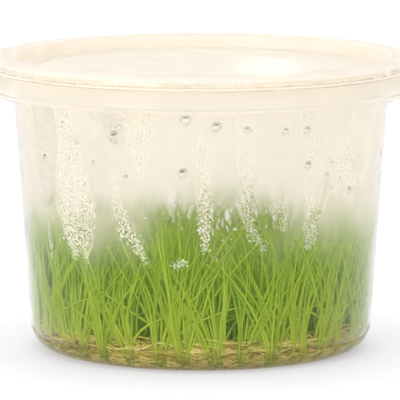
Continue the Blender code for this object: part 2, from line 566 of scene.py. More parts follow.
@dataclass(frozen=True)
class Plastic:
    """Thin translucent moulded plastic, fogged on its inner face, and tinted a darker tan as painted shade where the
    fog is cleared.
    """

    name: str
    tint: Colour = (0.982, 0.961, 0.924)
    # Darker tan for places cleared of fog: painted shade for the dim inside seen through them.
    painted_shade_tint: Colour = (0.80, 0.735, 0.66)
    milk: Colour = (0.918, 0.870, 0.818)
    index: float = 1.36
    mirror: float = 0.22
    clear_roughness: float = 0.035
    fog_roughness: float = 0.24
    base_haze: float = 0.010
    rim_haze: float = 0.12
    fog_haze: float = 0.58
    dew_haze: float = 0.10
    lamp_tint: Colour = (0.95, 0.93, 0.88)

    def build(self) -> bpy.types.Material:
        """Build the material. It reads the marks "fog", "bare", "patch" and "thick"."""
        bench = Bench(self.name)
        fog = bench.mark("fog")
        patch = bench.mark("patch")
        grain = bench.noise(2600.0, 2.0)
        drift = bench.noise(90.0, 3.0)
        fogged = (fog * (0.75 + 0.5 * drift)).capped()
        dewy = (patch + (grain - 0.5) * 0.35).step(0.35, 0.65)
        roughness = self.clear_roughness + fogged * (self.fog_roughness - self.clear_roughness)
        mould = bench.noise(60.0, 2.0, bench.stretched((1.0, 1.0, 0.25)))
        glass = bench.node(
            "ShaderNodeBsdfPrincipled",
            inputs={
                # Painted shade: where the fog is cleared, the base colour turns a darker tan.
                "Base Color": bench.blend(bench.mark("painted_shade"), self.tint, self.painted_shade_tint),
                "Roughness": roughness,
                "IOR": self.index,
                "Specular Tint": (self.mirror,) * 3,
                "Transmission Weight": 1.0,
                "Normal": bench.bump(mould, 0.25 * MM, 0.35),
            },
        )
        haze = self.base_haze + fogged * (self.fog_haze - self.base_haze) + dewy * self.dew_haze
        haze = haze + bench.mark("thick") * self.rim_haze
        surface = bench.mix(haze, glass, bench.milky(self.milk))
        return bench.finish(bench.lamps_pass(surface, self.lamp_tint))


@dataclass(frozen=True)
class Leaf:
    """Fresh wiry leaves: pale at the foot, bright yellow-green above, each of its own shade."""

    name: str
    foot: Colour = (0.58, 0.60, 0.13)
    low: Colour = (0.48, 0.62, 0.040)
    high: Colour = (0.40, 0.58, 0.025)
    tip: Colour = (0.32, 0.52, 0.03)
    dark: Colour = (0.28, 0.44, 0.03)
    light: Colour = (0.62, 0.71, 0.10)
    glow: float = 0.40
    shade_tint: Colour = (0.66, 0.78, 0.20)

    def build(self) -> bpy.types.Material:
        """Build the material. It reads the marks "along" and "tint"."""
        bench = Bench(self.name)
        along = bench.mark("along")
        tint = bench.mark("tint")
        body = bench.ramp(along, [(0.0, self.foot), (0.16, self.low), (0.6, self.high), (1.0, self.tip)])
        fine = bench.noise(1500.0, 2.0, bench.stretched((1.0, 1.0, 0.12)))
        body = bench.blend(tint.step(0.45, 1.0) * 0.55, body, self.light)
        body = bench.blend((1.0 - tint).step(0.5, 1.0) * 0.6, body, self.dark)
        body = bench.blend(fine.step(0.35, 0.75) * 0.35, body, self.light)
        solid = bench.node(
            "ShaderNodeBsdfPrincipled",
            inputs={
                "Base Color": body,
                "Roughness": 0.42 + fine * 0.2,
                "IOR": 1.3,
                "Normal": bench.bump(fine, 0.12 * MM, 0.5),
            },
        )
        glow = bench.node("ShaderNodeBsdfTranslucent", inputs={"Color": body})
        return bench.finish(bench.lamps_pass(bench.mix(self.glow, solid, glow), self.shade_tint))


@dataclass(frozen=True)
class Root:
    """Roots and runners: straw and cream, some green or brown, painted lighter towards the foot of the mat, where
    they lie in shade.
    """

    name: str
    straw: Colour = (0.66, 0.60, 0.12)
    cream: Colour = (0.96, 0.91, 0.44)
    green: Colour = (0.45, 0.56, 0.06)
    brown: Colour = (0.34, 0.24, 0.06)
    painted_foot_light: Colour = (1.0, 0.93, 0.46)
    glow: float = 0.40
    shade_tint: Colour = (0.88, 0.84, 0.60)

    def build(self) -> bpy.types.Material:
        """Build the material. It reads the mark "tint"."""
        bench = Bench(self.name)
        tint = bench.mark("tint")
        stops = [(0.12, self.brown), (0.3, self.straw), (0.6, self.cream), (0.8, self.straw), (1.0, self.green)]
        body = bench.ramp(tint, stops)
        spots = bench.noise(700.0, 3.0)
        body = bench.blend(spots.step(0.55, 0.75) * 0.5, body, self.brown)
        body = bench.blend((1.0 - spots).step(0.55, 0.8) * 0.4, body, self.cream)
        height = bench.number(bench.node("ShaderNodeSeparateXYZ", inputs={0: bench.place}), "Z")
        # Painted light: below about 6 mm the strands blend towards a bright straw, lifting the shade at the foot of
        # the mat.
        body = bench.blend((1.0 - height.step(1.0 * MM, 6.0 * MM)) * 0.7, body, self.painted_foot_light)
        solid = bench.node(
            "ShaderNodeBsdfPrincipled",
            inputs={
                "Base Color": body,
                "Roughness": 0.35 + spots * 0.3,
                "IOR": 1.38,
                "Normal": bench.bump(spots, 0.1 * MM, 0.6),
            },
        )
        glow = bench.node("ShaderNodeBsdfTranslucent", inputs={"Color": body})
        return bench.finish(bench.lamps_pass(bench.mix(self.glow, solid, glow), self.shade_tint))


@dataclass(frozen=True)
class Litter:
    """The dark heart of the mat: old roots and jelly grown together."""

    name: str
    dark: Colour = (0.26, 0.19, 0.045)
    olive: Colour = (0.48, 0.40, 0.10)
    straw: Colour = (0.78, 0.66, 0.24)

    def build(self) -> bpy.types.Material:
        """Build the material."""
        bench = Bench(self.name)
        lumps = bench.noise(260.0, 4.0, roughness=0.6)
        threads = bench.noise(900.0, 3.0, bench.stretched((0.35, 0.35, 1.6)))
        body = bench.ramp(lumps, [(0.3, self.dark), (0.55, self.olive), (0.75, self.straw)])
        body = bench.blend(threads.step(0.52, 0.7) * 0.7, body, self.straw)
        solid = bench.node(
            "ShaderNodeBsdfPrincipled",
            inputs={"Base Color": body, "Roughness": 0.6, "Normal": bench.bump(threads, 0.4 * MM, 0.8)},
        )
        return bench.finish(solid)


@dataclass(frozen=True)
class Clear:
    """A clear wet thing: jelly or water."""

    name: str
    tint: Colour
    index: float
    roughness: float = 0.02
    absorbs: Colour | None = None
    density: float = 0.0
    cloud: float = 0.0
    milk: Colour = (1.0, 0.99, 0.965)
    lamp_tint: Colour = (0.97, 0.97, 0.95)

    def build(self) -> bpy.types.Material:
        """Build the material."""
        bench = Bench(self.name)
        ripple = bench.noise(180.0, 2.0)
        surface = bench.node(
            "ShaderNodeBsdfPrincipled",
            inputs={
                "Base Color": self.tint,
                "Roughness": self.roughness,
                "IOR": self.index,
                "Transmission Weight": 1.0,
                "Normal": bench.bump(ripple, 0.15 * MM, 0.3),
            },
        )
        if self.cloud > 0.0:
            surface = bench.mix(self.cloud, surface, bench.milky(self.milk))
        volume = None
        if self.absorbs is not None:
            fed = {"Color": self.absorbs, "Density": self.density}
            volume = bench.node("ShaderNodeVolumeAbsorption", inputs=fed)
        return bench.finish(bench.lamps_pass(surface, self.lamp_tint), volume)


@dataclass(frozen=True)
class Paper:
    """The pale, even surface that the tub stands on."""

    name: str
    shade: float = 0.53
    glow: float = 0.33

    def build(self) -> bpy.types.Material:
        """Build the material."""
        bench = Bench(self.name)
        cloud = bench.noise(3.0, 2.0)
        cool = (self.shade * 0.98, self.shade * 0.985, self.shade * 1.07)
        tone = bench.blend(cloud, cool, (self.shade, self.shade, self.shade * 1.07))
        own = {"Emission Color": (0.98, 0.985, 1.0), "Emission Strength": self.glow}
        solid = bench.node("ShaderNodeBsdfPrincipled", inputs={"Base Color": tone, "Roughness": 0.8, **own})
        return bench.finish(solid)


# The wall and what lies on it


@dataclass(frozen=True)
class Wall:
    """The cup's tapered wall, as the pieces that touch it need it."""

    foot_radius: float = 47.0 * MM
    slope: float = 0.0708
    thickness: float = 0.7 * MM
    corner_radius: float = 7.0 * MM
    floor: float = 1.1 * MM
    top: float = 72.3 * MM

    def outer(self, z: float | np.ndarray, inset: float = 0.0) -> float | np.ndarray:
        """Outer radius at a height, less an inset."""
        return self.foot_radius + self.slope * z - inset

    def corner(self, inset: float, floor: float, steps: int) -> Outline:
        """The rounded corner between a floor and the wall's line moved inwards by an inset.

        Args:
            inset: How far inside the outer wall.
            floor: The floor's height.
            steps: How many pieces the arc has.

        Returns:
            The corner's points, from the floor up.
        """
        lean = math.atan(self.slope)
        radius = self.corner_radius - inset
        centre_z = floor + radius
        centre_r = self.outer(centre_z, inset / math.cos(lean)) - radius / math.cos(lean)
        return arc((centre_r, centre_z), radius, -90.0, -math.degrees(lean), steps)

    def room(self, z: np.ndarray, margin: float) -> np.ndarray:
        """How far from the axis a thing may reach at each height inside the cup.

        Args:
            z: Heights.
            margin: Distance kept from the wall.

        Returns:
            The largest radius at each height.
        """
        inset = self.thickness + margin
        straight = self.outer(z, inset)
        radius = self.corner_radius - self.thickness
        centre_z = self.floor + radius
        centre_r = self.outer(centre_z, self.thickness) - radius
        drop = np.clip((centre_z - z) / (radius - margin), 0.0, 1.0)
        rounded = centre_r + (radius - margin) * np.sqrt(1.0 - drop * drop)
        return np.where(z < centre_z, np.minimum(rounded, straight), straight)

    def spot(self, degrees: np.ndarray, z: np.ndarray, stand_off: float) -> tuple[np.ndarray, ...]:
        """Places on the inner face and their directions.

        Args:
            degrees: Angles from the front.
            z: Heights.
            stand_off: Distance from the face.

        Returns:
            The places, the way round, the way up along the face and the way in.
        """
        angle = np.radians(degrees)
        out = np.stack([np.sin(angle), -np.cos(angle), np.zeros_like(angle)], axis=1)
        round_ = np.stack([np.cos(angle), np.sin(angle), np.zeros_like(angle)], axis=1)
        rise = np.array([0.0, 0.0, 1.0]) + out * self.slope
        rise /= np.linalg.norm(rise, axis=1, keepdims=True)
        inward = np.cross(round_, rise)
        inward *= -np.sign((inward * out).sum(axis=1, keepdims=True))
        place = out * self.outer(z, self.thickness)[:, None]
        place[:, 2] = z
        return place + inward * stand_off, round_, rise, inward


@dataclass(frozen=True)
class Streak:
    """A patch of condensation: a line down the wall with its own width at each point.

    Each point is an angle in degrees, a height in millimetres and a half width in millimetres. The finer a patch
    is, the smaller its droplets are and the more of the fog is left between them.
    """

    line: tuple[tuple[float, float, float], ...]
    density: float = 1.0
    soft: float = 1.6
    clears: float = 0.92

    def depth(self, degrees: np.ndarray, z: np.ndarray) -> np.ndarray:
        """How many millimetres inside the patch each place lies, or less than 0 outside it."""
        best = np.full(degrees.shape, -99.0)
        scale = math.radians(1.0) * 49.5
        height = z / MM
        for (a0, z0, w0), (a1, z1, w1) in zip(self.line, self.line[1:]):
            gap = (degrees - a0 + 180.0) % 360.0 - 180.0
            x, y = gap * scale, height - z0
            dx, dy = (a1 - a0) * scale, z1 - z0
            share = np.clip((x * dx + y * dy) / (dx * dx + dy * dy), 0.0, 1.0)
            away = np.hypot(x - dx * share, y - dy * share)
            best = np.maximum(best, w0 + (w1 - w0) * share - away)
        return best


FRONT_STREAKS = (
    Streak(((-46.9, 71.0, 2.4), (-45.0, 60.0, 3.6), (-44.6, 52.0, 5.6), (-43.2, 44.0, 7.2), (-43.0, 38.5, 6.0))),
    Streak(((-46.0, 38.0, 3.6), (-43.8, 30.0, 0.5))),
    Streak(((-39.9, 38.0, 3.4), (-39.6, 29.6, 0.5))),
    Streak(((-18.0, 71.5, 4.8), (-19.1, 64.0, 3.4), (-19.0, 55.5, 1.0)), 0.75),
    Streak(((-27.7, 53.0, 0.7), (-26.6, 45.8, 1.5), (-24.4, 39.5, 2.1), (-20.6, 35.0, 1.7), (-17.5, 30.4, 0.4))),
    Streak(((-0.5, 66.0, 0.8), (0.7, 56.0, 1.9), (1.0, 48.0, 2.1), (1.4, 40.0, 1.6), (1.3, 34.0, 0.5))),
    Streak(((13.0, 71.0, 3.0), (13.6, 61.0, 2.9), (14.8, 50.5, 2.5), (15.0, 41.0, 1.6), (19.9, 34.4, 1.0)), 0.6),
    Streak(((26.5, 49.0, 0.6), (26.6, 40.0, 1.4)), 0.5),
    Streak(((39.0, 69.0, 7.0), (45.0, 57.0, 9.0), (39.0, 47.0, 4.5), (37.0, 35.0, 1.8)), 0.6),
    Streak(((62.0, 69.0, 8.0), (58.0, 57.0, 8.5), (57.0, 48.0, 4.5)), 0.55),
    Streak(((-57.5, 38.0, 0.3), (-57.0, 33.0, 0.9), (-56.5, 27.0, 0.3)), 0.8),
    Streak(((-7.6, 30.0, 1.1), (-5.4, 30.8, 0.9)), 0.8),
)

# Windows where the fog is cleared; the plastic tints them a darker tan as painted shade.
WINDOWS = (
    Streak(((-7.0, 39.0, 9.0), (20.0, 40.0, 9.5)), 0.9, 9.0),
    Streak(((-57.5, 72.0, 5.6), (-57.0, 60.0, 6.0), (-57.0, 48.0, 4.6)), 0.8, 2.2),
    Streak(((-28.2, 72.0, 5.0), (-26.8, 65.0, 2.6)), 0.9, 2.2),
    Streak(((-33.0, 60.0, 2.4), (-33.0, 45.0, 2.0)), 0.4, 3.0),
)

# Where beads of water in the rim's front begin and end, in degrees.
RIM_BEADS = (
    (-30.0, -24.0),
    (-9.9, -3.9),
    (-3.0, 1.3),
    (3.1, 9.8),
    (10.4, 15.0),
    (16.3, 22.8),
    (24.2, 28.8),
    (41.2, 43.0),
    (54.8, 57.0),
)

# Angle, height and radius of the larger drops, in degrees and millimetres, with how long they hang.
LARGE_DROPS = (
    (-27.1, 64.4, 1.35, 1.25),
    (-57.0, 56.3, 0.85, 1.5),
    (-34.7, 57.1, 0.55, 1.0),
    (-23.5, 53.7, 0.75, 1.0),
    (-5.5, 55.3, 1.25, 1.1),
    (-4.5, 69.7, 1.5, 1.0),
    (4.6, 67.8, 1.35, 1.1),
    (14.1, 66.8, 1.1, 1.0),
    (26.4, 66.1, 0.95, 1.1),
    (33.9, 65.9, 1.2, 1.0),
    (34.9, 56.3, 1.0, 1.3),
    (42.5, 53.0, 0.65, 1.2),
    (48.5, 51.6, 0.6, 1.2),
    (53.7, 47.8, 0.85, 1.5),
    (45.0, 49.2, 0.5, 1.0),
    (48.2, 31.7, 0.75, 1.1),
    (10.8, 40.2, 0.6, 1.0),
    (4.8, 32.0, 0.7, 1.2),
    (-17.5, 43.0, 0.55, 1.0),
    (-48.3, 38.4, 0.6, 1.0),
    (-20.4, 35.2, 0.7, 1.0),
    (-29.1, 39.1, 0.4, 1.0),
    (58.1, 49.9, 0.45, 1.0),
    (-41.5, 62.0, 0.6, 1.0),
    (-38.5, 51.0, 0.5, 1.0),
    (6.9, 37.0, 0.35, 1.0),
)


@dataclass
class Condensation:
    """Fog, dew and drops on the inside of the tub."""

    wall: Wall = field(default_factory=Wall)
    dew_pitch: float = 0.51 * MM
    dew_radius: tuple[float, float] = (0.19 * MM, 0.30 * MM)
    ragged: float = 0.5
    fog_from: float = 29.0 * MM
    fog_full: float = 49.0 * MM
    fog_sinks: float = 4.0 * MM
    back_sinks: float = 6.0 * MM
    rim_rise: float = 1.5
    seed: int = 11

    def __post_init__(self) -> None:
        """Draw the streaks of the sides and the back, like those of the front."""
        rng = random.Random(self.seed)
        streaks = list(FRONT_STREAKS)
        angle = 84.0
        while angle < 272.0:
            width = rng.uniform(1.2, 5.0)
            low = rng.uniform(32.0, 54.0)
            lean = rng.uniform(-5.0, 5.0)
            line = (
                (angle, 71.0, width * rng.uniform(0.5, 1.0)),
                (angle + 0.3 * lean, 0.6 * 71.0 + 0.4 * low, width),
                (angle + 0.7 * lean, 0.3 * 71.0 + 0.7 * low, width * rng.uniform(0.5, 1.0)),
                (angle + lean, low, 0.4),
            )
            streaks.append(Streak(line, rng.uniform(0.4, 1.0), clears=0.55))
            angle += rng.uniform(11.0, 24.0)
        self.streaks = streaks
        self.large = list(LARGE_DROPS)
        for _ in range(60):
            angle = rng.uniform(72.0, 288.0)
            self.large.append((angle, rng.uniform(34.0, 70.0), rng.uniform(0.4, 1.3), rng.uniform(1.0, 1.4)))

    def fog(self, degrees: np.ndarray, z: np.ndarray) -> tuple[np.ndarray, np.ndarray]:
        """How fogged each place on the inner face is, and how far it is cleared where fog could be, which the
        plastic paints as shade.
        """
        sway = 2.0 * MM * np.sin(np.radians(degrees * 7.0)) + 1.5 * MM * np.sin(np.radians(degrees * 17.0 + 40.0))
        beside = self.fog_sinks * smooth_step(12.0, 28.0, np.abs(degrees - 4.0))
        beside = beside + self.back_sinks * smooth_step(95.0, 125.0, np.abs(degrees))
        full = smooth_step(self.fog_from, self.fog_full, z + sway + beside)
        left = np.ones_like(full)
        for window in WINDOWS:
            left *= 1.0 - 0.95 * window.density * smooth_step(-window.soft, window.soft, window.depth(degrees, z))
        # Cleared windows carry painted shade: the plastic turns a darker tan there.
        painted_shade = full * (1.0 - left)
        for streak in self.streaks:
            clears = streak.clears * min(1.0, 0.3 + 0.8 * streak.density)
            left *= 1.0 - clears * smooth_step(-0.4, 1.2, streak.depth(degrees, z))
        for angle, height, radius, hang in self.large:
            across = ((degrees - angle + 180.0) % 360.0 - 180.0) * math.radians(1.0) * 51.0
            away = np.hypot(across, (z / MM - height) / hang)
            left *= smooth_step(0.6 * radius, 1.2 * radius, away)
        return full * left, painted_shade + 0.3 * (full * (1.0 - left) - painted_shade)

    def patch(self, degrees: np.ndarray, z: np.ndarray) -> np.ndarray:
        """How far inside a patch of dew each place lies, from 0 outside to 1 well inside."""
        best = np.zeros_like(degrees)
        for streak in self.streaks:
            inside = smooth_step(-1.6, 1.2, streak.depth(degrees, z))
            best = np.maximum(best, inside * (0.2 + 0.8 * streak.density))
        return best

    def dew(self) -> list[bpy.types.Object]:
        """Scatter fine dew in the patches, and a little between them.

        Returns:
            One piece for each quarter of the wall.
        """
        pattern = drop_pattern(6, 1)
        rng = np.random.default_rng(self.seed)
        rows = np.arange(28.0 * MM, self.wall.top, self.dew_pitch)
        step = math.degrees(self.dew_pitch / (49.5 * MM))
        columns = np.arange(-180.0, 180.0, step)
        degrees, z = (grid.ravel() for grid in np.meshgrid(columns, rows))
        degrees = degrees + rng.uniform(-0.45, 0.45, degrees.shape) * step
        z = z + rng.uniform(-0.45, 0.45, z.shape) * self.dew_pitch
        chance = np.zeros_like(z)
        coarse = np.full(z.shape, 0.8)
        edge = rng.normal(0.0, self.ragged, z.shape)
        for streak in self.streaks:
            inside = smooth_step(-0.1, 0.3, streak.depth(degrees, z) + edge)
            better = inside > chance
            chance = np.where(better, inside, chance)
            coarse = np.where(better, 0.35 + 0.65 * streak.density, coarse)
        stray = 0.02 * smooth_step(36.0 * MM, 60.0 * MM, z)
        chosen = rng.uniform(0.0, 1.0, z.shape) < np.maximum(0.97 * chance, stray)
        degrees, z, coarse = degrees[chosen], z[chosen], coarse[chosen]
        radius = rng.uniform(*self.dew_radius, degrees.shape) * coarse
        radius *= np.where(rng.uniform(0.0, 1.0, degrees.shape) > 0.95, 1.5, 1.0)
        pieces = []
        for label, middle in (("front", 0.0), ("right", 90.0), ("back", 180.0), ("left", -90.0)):
            near = np.abs((degrees - middle + 180.0) % 360.0 - 180.0) < 45.0
            copies = self.lay(pattern, degrees[near], z[near], radius[near], np.ones(near.sum()))
            pieces.append(pattern.join(f"dew_{label}", copies, {}))
        return pieces

    def lay(
        self, pattern: Pattern, degrees: np.ndarray, z: np.ndarray, radius: np.ndarray, hang: np.ndarray
    ) -> list[np.ndarray]:
        """Lay copies of a drop on the inner face.

        Args:
            pattern: The drop's cap.
            degrees: Their angles.
            z: Their heights.
            radius: Their radii.
            hang: How much longer than wide each is.

        Returns:
            The points of each copy.
        """
        place, round_, rise, inward = self.wall.spot(degrees, z, 0.02 * MM)
        copies = []
        for k, size in enumerate(radius):
            local = pattern.points * size
            copies.append(
                place[k]
                - local[:, :1] * round_[k]
                + local[:, 1:2] * rise[k] * hang[k]
                + local[:, 2:3] * inward[k] * 0.8
            )
        return copies

    def drops(self) -> bpy.types.Object:
        """Lay the larger drops: those of the front at their places, and more round the wall.

        Returns:
            The drops as one piece.
        """
        pattern = drop_pattern(18, 6)
        degrees, z, radius, hang = (np.array(column) for column in zip(*self.large))
        return pattern.join("wall_drops", self.lay(pattern, degrees, z * MM, radius * MM, hang), {})

    def rim_water(self, radius: float, height: float, half_gap: float) -> bpy.types.Object:
        """Hold water in the channel between the neck and the lid's lip: beads drawn out along it.

        Args:
            radius: The middle of the gap.
            height: The water's middle height.
            half_gap: Half the gap's width.

        Returns:
            The water as one piece.
        """
        straight = strand_pattern(8, 12)
        pattern = Pattern(straight.points * np.array([1.0, self.rim_rise, 1.0]), straight.faces)
        rng = random.Random(self.seed + 2)
        beads = list(RIM_BEADS)
        angle = 60.0
        while angle < 345.0:
            length = rng.uniform(1.0, 9.0)
            beads.append((angle, angle + length))
            angle += length + rng.uniform(0.6, 9.0)
        copies = []
        for first, last in beads:
            way = np.radians(np.linspace(first, last, 13))
            path = np.stack([radius * np.sin(way), -radius * np.cos(way), np.full(13, height)], axis=1)
            width = half_gap * np.minimum(1.0, 0.35 + 3.0 * np.minimum(np.linspace(0, 1, 13), 1 - np.linspace(0, 1, 13)))
            copies.append(sweep(pattern, path, width, np.array([math.sin(way[6]), -math.cos(way[6]), 0.0])))
        return pattern.join("rim_water", copies, {})

    def rim_film(self, radius: float, height: float, half_width: float) -> bpy.types.Object:
        """Hold a film of water between the lid's lip and the shelf, all the way round.

        Args:
            radius: The film's middle.
            height: Its middle height.
            half_width: Half its width.

        Returns:
            The film.
        """
        sizes = {"major_radius": radius, "minor_radius": half_width, "major_segments": 288, "minor_segments": 10}
        obj = start_piece("rim_film", bpy.ops.mesh.primitive_torus_add, **sizes)
        bpy.ops.transform.resize(value=(1.0, 1.0, 1.3))
        bpy.ops.transform.translate(value=(0.0, 0.0, height))
        close_piece(obj)
        return obj

    def lid_dew(self, height: float, reach: float) -> bpy.types.Object:
        """Scatter dew under the lid's panel.

        Args:
            height: The panel's underside.
            reach: The radius that it covers.

        Returns:
            The dew as one piece.
        """
        pattern = drop_pattern(7, 2)
        rng = np.random.default_rng(self.seed + 1)
        copies = []
        for _ in range(1500):
            r = reach * math.sqrt(rng.uniform(0.0, 1.0))
            angle = rng.uniform(0.0, 2.0 * math.pi)
            clump = math.sin(3.0 * angle + 90.0 * r) + math.sin(5.0 * angle - 140.0 * r)
            size = rng.uniform(0.25, 0.6) * MM * (1.5 if clump > 0.9 else 1.0)
            local = pattern.points * size
            local[:, 2] *= -0.5
            local[:, 1] *= -1.0
            copies.append(local + np.array([r * math.cos(angle), r * math.sin(angle), height - 0.02 * MM]))
        return pattern.join("lid_dew", copies, {})


# The tub


@dataclass
class Cup:
    """The moulded cup: rounded foot, tapered wall, flared neck and hanging skirt."""

    wall: Wall = field(default_factory=Wall)
    hollow_radius: float = 35.0 * MM
    hollow_depth: float = 0.4 * MM
    flare_end: float = 75.4 * MM
    neck_radius: float = 55.4 * MM
    neck_top: float = 80.5 * MM
    neck_bead: float = 1.1 * MM
    neck_bead_foot: float = 79.7 * MM
    shelf_top: float = 78.6 * MM
    skirt_radius: float = 58.2 * MM
    skirt_foot: float = 71.8 * MM
    bead_height: float = 1.5 * MM
    bead_depth: float = 0.6 * MM
    round_edge: float = 0.2 * MM
    jelly_line: float = 5.2 * MM
    steps: int = 360
    rows: int = 88

    def flare(self, inset: float) -> Outline:
        """The smooth step outwards from the wall to the neck's foot, going up."""
        low = self.wall.outer(self.wall.top, inset)
        high = self.neck_radius - inset
        points = []
        for step in range(9):
            share = step / 8
            ease = share * share * (3.0 - 2.0 * share)
            points.append((low + (high - low) * ease, self.wall.top + (self.flare_end - self.wall.top) * share))
        return points

    def outline(self) -> Outline:
        """The cup's outline, up the outside from the middle of the foot and down the inside."""
        thick, e = self.wall.thickness, self.round_edge
        shelf_foot = self.shelf_top - thick
        skirt_inside = self.skirt_radius - thick
        bead = self.skirt_radius + self.bead_depth
        neck = self.neck_radius
        lip = neck + self.neck_bead
        foot = [(0.0, self.hollow_depth), (self.hollow_radius, self.hollow_depth)]
        foot += [(self.hollow_radius + self.hollow_depth, 0.0)]
        outside = self.wall.corner(0.0, 0.0, 10)
        outside += ruled(outside[-1], self.flare(0.0)[0], 8) + self.flare(0.0)
        under = [(neck, shelf_foot - 2.0 * e), (neck + 2.0 * e, shelf_foot), (skirt_inside - e, shelf_foot)]
        under += [(skirt_inside, shelf_foot - e), (skirt_inside, self.skirt_foot + e)]
        skirt = arc((skirt_inside + e, self.skirt_foot + e), e, 180.0, 270.0, 3)
        skirt += arc((bead - e, self.skirt_foot + e), e, -90.0, 0.0, 3)
        skirt += arc((bead - 2.0 * e, self.skirt_foot + 0.9 * MM), 2.0 * e, 0.0, 60.0, 3)
        skirt += [(self.skirt_radius + 0.1 * MM, self.skirt_foot + self.bead_height - 0.1 * MM)]
        skirt += [(self.skirt_radius, self.skirt_foot + self.bead_height + 0.2 * MM)]
        shelf = arc((self.skirt_radius - 0.8 * MM, self.shelf_top - 0.8 * MM), 0.8 * MM, 0.0, 90.0, 5)
        collar = [(neck + e, self.shelf_top), (neck, self.shelf_top + e), (neck, self.neck_bead_foot - 0.3 * MM)]
        collar += [(lip - e, self.neck_bead_foot - 0.05 * MM), (lip, self.neck_bead_foot + e)]
        collar += arc((lip - 0.4 * MM, self.neck_top - 0.4 * MM), 0.4 * MM, 0.0, 90.0, 4)
        collar += arc((neck - thick + 0.4 * MM, self.neck_top - 0.4 * MM), 0.4 * MM, 90.0, 180.0, 4)
        down = self.flare(thick)[::-1]
        corner = self.wall.corner(thick, self.wall.floor, 10)[::-1]
        inside = down + ruled(down[-1], corner[0], self.rows) + corner
        floor = ruled(inside[-1], (0.0, self.wall.floor), 6) + [(0.0, self.wall.floor)]
        return foot + outside + under + skirt + shelf + collar + inside + floor

    def build(self, dew: Condensation, finish: Plastic, wetted: Plastic, hung: Plastic) -> bpy.types.Object:
        """Turn the cup, fog its inner face and dress it.

        Args:
            dew: The condensation on the inner face.
            finish: The plastic.
            wetted: The plastic where the jelly touches it, which bends light less.
            hung: The plastic of the shelf and the skirt, with a darker milk as painted shade.

        Returns:
            The cup.
        """
        obj = turn("cup_shell", self.outline(), self.steps)
        points = points_of(obj.data)
        r = np.hypot(points[:, 0], points[:, 1])
        z = points[:, 2]
        degrees = np.degrees(np.arctan2(points[:, 0], -points[:, 1]))
        inner = (r < self.wall.room(z, -0.5 * self.wall.thickness)) & (z > self.wall.floor - 0.1 * MM)
        inner |= (r < self.neck_radius - 0.5 * self.wall.thickness) & (z > self.flare_end)
        fog, painted_shade = dew.fog(degrees, z)
        paint(obj.data, "fog", np.where(inner, fog, 0.0))
        # Painted shade: where the inner face is cleared of fog, the plastic turns a darker tan.
        paint(obj.data, "painted_shade", np.where(inner & (z < self.wall.top), painted_shade, 0.0))
        paint(obj.data, "patch", np.where(inner & (z < self.flare_end), dew.patch(degrees, z), 0.0))
        hanging = smooth_step(self.neck_radius + 0.2 * MM, self.neck_radius + 0.8 * MM, r)
        paint(obj.data, "thick", np.maximum(smooth_step(self.wall.top - 1.0 * MM, self.flare_end, z), hanging))
        dress(obj, finish.build(), ["cup"])
        for slot, (plastic, part) in enumerate(
            ((wetted, inner & (z < self.jelly_line)), (hung, hanging > 0.5)), start=1
        ):
            obj.data.materials.append(plastic.build())
            for face in obj.data.polygons:
                if all(part[i] for i in face.vertices):
                    face.material_index = slot
        return obj


